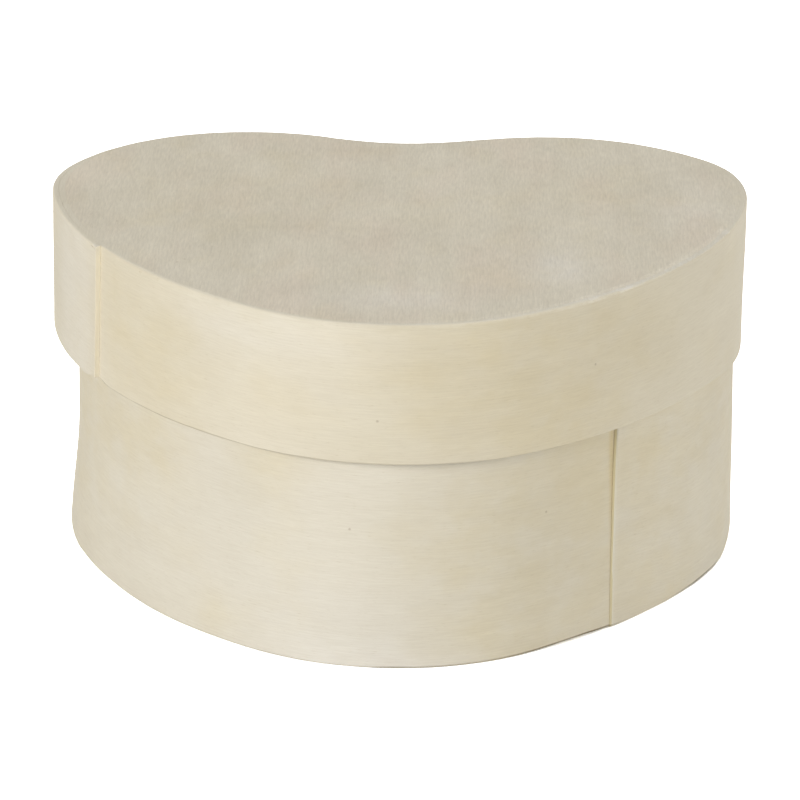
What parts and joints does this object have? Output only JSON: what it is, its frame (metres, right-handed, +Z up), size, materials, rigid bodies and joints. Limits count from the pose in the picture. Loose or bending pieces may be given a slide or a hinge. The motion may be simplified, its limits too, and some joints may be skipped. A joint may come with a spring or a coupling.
{
  "type": "heart-shaped box",
  "caption": "Small heart-shaped box of bent wood veneer with a deep lift-off lid, for keepsakes or small gifts.",
  "frame": {"origin": "on the surface that the box stands on, on the heart's middle plane, level with the centres of the two lobes", "axes": "+Z up out of the lid's top board, +X across the two lobes to the right, -Y towards the heart's blunt tip, which is the front"},
  "size_m": [0.1, 0.0891, 0.05],
  "materials": {
    "lid_board": "unfinished pale plywood, fine grain from front to back",
    "lid_veneer": "unfinished pale veneer, fine grain along the strip, edges lightly sanded",
    "box_veneer": "unfinished pale veneer, fine grain along the strip, old glue in the lap",
    "base_board": "unfinished pale plywood, fine grain from front to back"
  },
  "bodies": {
    "box": {"box_band": "box_veneer", "base_panel": "base_board"},
    "lid": {"lid_band": "lid_veneer", "lid_panel": "lid_board"}
  },
  "joints": [
    {"name": "lid_lift", "type": "slide", "parent": "box", "child": "lid", "axis": [0, 0, 1], "range_m": [0, 0.04]}
  ]
}
